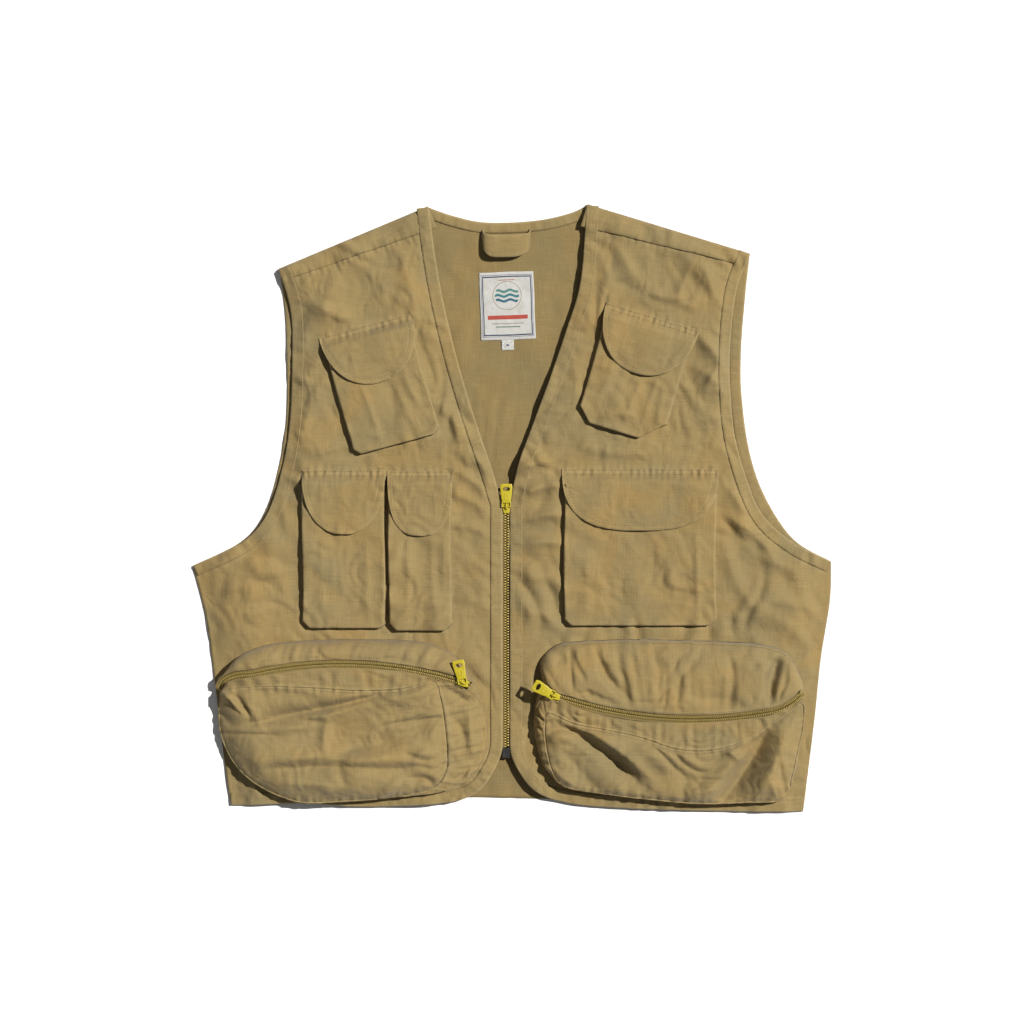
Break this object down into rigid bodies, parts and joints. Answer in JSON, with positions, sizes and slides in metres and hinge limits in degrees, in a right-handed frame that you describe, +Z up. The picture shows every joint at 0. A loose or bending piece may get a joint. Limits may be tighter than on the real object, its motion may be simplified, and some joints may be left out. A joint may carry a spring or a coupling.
{
  "type": "fishing vest",
  "caption": "Sleeveless V-neck khaki cotton vest, zipped up and laid flat, with flap pockets on the chest and waist and large zipped bellows pockets at the hem.",
  "frame": {"origin": "on the table, under the middle of the vest's outline as it lies flat on its back", "axes": "+X towards the wearer's left side, +Y towards the collar, +Z up from the table through the front of the vest"},
  "size_m": [0.6201, 0.588, 0.0369],
  "materials": {
    "khaki_cloth": "light khaki cotton poplin, crumpled, topstitched, matt",
    "binding_cloth": "the same poplin folded double and stitched along both edges",
    "zip_tape": "woven olive-gold zip tape with a coil",
    "zip_teeth": "moulded olive-gold teeth, satin",
    "yellow_enamel": "bright yellow enamel over die-cast metal, glossy",
    "black_plastic": "black moulded plastic, satin",
    "woven_label": null,
    "hook_and_loop": "khaki hook-and-loop tape"
  },
  "bodies": {
    "vest": {"back_panel": "khaki_cloth", "back_neck_band": "binding_cloth", "right_front_edge_band": "binding_cloth", "left_front_edge_band": "binding_cloth", "right_armhole_band_front": "binding_cloth", "left_armhole_band_front": "binding_cloth", "right_armhole_band_back": "binding_cloth", "left_armhole_band_back": "binding_cloth", "right_shoulder_yoke": "khaki_cloth", "left_shoulder_yoke": "khaki_cloth", "right_front_panel": "khaki_cloth", "left_front_panel": "khaki_cloth", "neck_label": "woven_label", "front_zip_right_teeth": "zip_teeth", "front_zip_right_tape": "zip_tape", "front_zip_right_top_stop": "zip_teeth", "front_zip_left_teeth": "zip_teeth", "front_zip_left_tape": "zip_tape", "front_zip_left_top_stop": "zip_teeth", "front_zip_retainer_box": "black_plastic", "front_zip_insertion_pin": "black_plastic", "right_chest_pocket": "khaki_cloth", "right_chest_loop_patch": "hook_and_loop", "left_chest_pocket": "khaki_cloth", "left_chest_loop_patch": "hook_and_loop", "right_waist_outer_pocket": "khaki_cloth", "right_waist_outer_loop_patch": "hook_and_loop", "right_waist_inner_pocket": "khaki_cloth", "right_waist_inner_loop_patch": "hook_and_loop", "left_waist_pocket": "khaki_cloth", "left_waist_loop_patch": "hook_and_loop", "right_cargo_upper_gusset": "khaki_cloth", "right_cargo_lower_gusset": "khaki_cloth", "right_cargo_face": "khaki_cloth", "right_cargo_zip_upper_stringer": "zip_tape", "right_cargo_zip_lower_stringer": "zip_tape", "left_cargo_upper_gusset": "khaki_cloth", "left_cargo_lower_gusset": "khaki_cloth", "left_cargo_face": "khaki_cloth", "left_cargo_zip_upper_stringer": "zip_tape", "left_cargo_zip_lower_stringer": "zip_tape"},
    "right_chest_flap": {"right_chest_flap": "khaki_cloth", "right_chest_hook_patch": "hook_and_loop"},
    "left_chest_flap": {"left_chest_flap": "khaki_cloth", "left_chest_hook_patch": "hook_and_loop"},
    "right_waist_outer_flap": {"right_waist_outer_flap": "khaki_cloth", "right_waist_outer_hook_patch": "hook_and_loop"},
    "right_waist_inner_flap": {"right_waist_inner_flap": "khaki_cloth", "right_waist_inner_hook_patch": "hook_and_loop"},
    "left_waist_flap": {"left_waist_flap": "khaki_cloth", "left_waist_hook_patch": "hook_and_loop"},
    "front_zip_slider": {"front_zip_slider": "yellow_enamel"},
    "front_zip_puller": {"front_zip_puller": "yellow_enamel"},
    "right_cargo_zip_slider": {"right_cargo_zip_slider": "yellow_enamel"},
    "right_cargo_zip_puller": {"right_cargo_zip_puller": "yellow_enamel"},
    "left_cargo_zip_slider": {"left_cargo_zip_slider": "yellow_enamel"},
    "left_cargo_zip_puller": {"left_cargo_zip_puller": "yellow_enamel"},
    "hanger_loop": {"hanger_loop": "binding_cloth"},
    "size_tab": {"size_tab": "woven_label"}
  },
  "joints": [
    {"name": "right_chest_flap_hinge", "type": "hinge", "parent": "vest", "child": "right_chest_flap", "pos_m": [-0.142, 0.177, 0.0123], "axis": [-0.9659, -0.2588, 0], "range_deg": [0, 135]},
    {"name": "left_chest_flap_hinge", "type": "hinge", "parent": "vest", "child": "left_chest_flap", "pos_m": [0.1365, 0.186, 0.0123], "axis": [-0.9563, 0.2924, 0], "range_deg": [0, 135]},
    {"name": "right_waist_outer_flap_hinge", "type": "hinge", "parent": "vest", "child": "right_waist_outer_flap", "pos_m": [-0.163, 0.037, 0.0123], "axis": [-1, 0, 0], "range_deg": [0, 120]},
    {"name": "right_waist_inner_flap_hinge", "type": "hinge", "parent": "vest", "child": "right_waist_inner_flap", "pos_m": [-0.089, 0.0365, 0.0123], "axis": [-1, 0, 0], "range_deg": [0, 135]},
    {"name": "left_waist_flap_hinge", "type": "hinge", "parent": "vest", "child": "left_waist_flap", "pos_m": [0.124, 0.0385, 0.0123], "axis": [-1, 0, 0], "range_deg": [0, 135]},
    {"name": "front_zip_travel", "type": "slide", "parent": "vest", "child": "front_zip_slider", "axis": [0, -1, 0], "range_m": [0, 0.2268]},
    {"name": "front_zip_puller_hinge", "type": "hinge", "parent": "front_zip_slider", "child": "front_zip_puller", "pos_m": [-0.0055, 0.0019, 0.01335], "axis": [1, 0, 0], "range_deg": [0, 170]},
    {"name": "right_cargo_zip_travel", "type": "hinge", "parent": "vest", "child": "right_cargo_zip_slider", "pos_m": [-0.16454, -0.53941, 0.0314], "axis": [0, 0, 1], "range_deg": [0, 29.93]},
    {"name": "right_cargo_zip_puller_hinge", "type": "hinge", "parent": "right_cargo_zip_slider", "child": "right_cargo_zip_puller", "pos_m": [-0.0475, -0.1675, 0.03535], "axis": [0.9781, 0.2079, 0], "range_deg": [0, 170]},
    {"name": "left_cargo_zip_travel", "type": "hinge", "parent": "vest", "child": "left_cargo_zip_slider", "pos_m": [0.17356, 0.20204, 0.0314], "axis": [0, 0, 1], "range_deg": [0, 30.24]},
    {"name": "left_cargo_zip_puller_hinge", "type": "hinge", "parent": "left_cargo_zip_slider", "child": "left_cargo_zip_puller", "pos_m": [0.04, -0.18, 0.03535], "axis": [0.5, 0.866, 0], "range_deg": [0, 170]},
    {"name": "hanger_loop_flip", "type": "hinge", "parent": "vest", "child": "hanger_loop", "pos_m": [-0.0055, 0.272, 0.0026], "axis": [-1, 0, 0], "range_deg": [0, 120]},
    {"name": "size_tab_lift", "type": "hinge", "parent": "vest", "child": "size_tab", "pos_m": [-0.00434, 0.16369, 0.0018], "axis": [-0.9994, -0.0349, 0], "range_deg": [0, 150]}
  ]
}
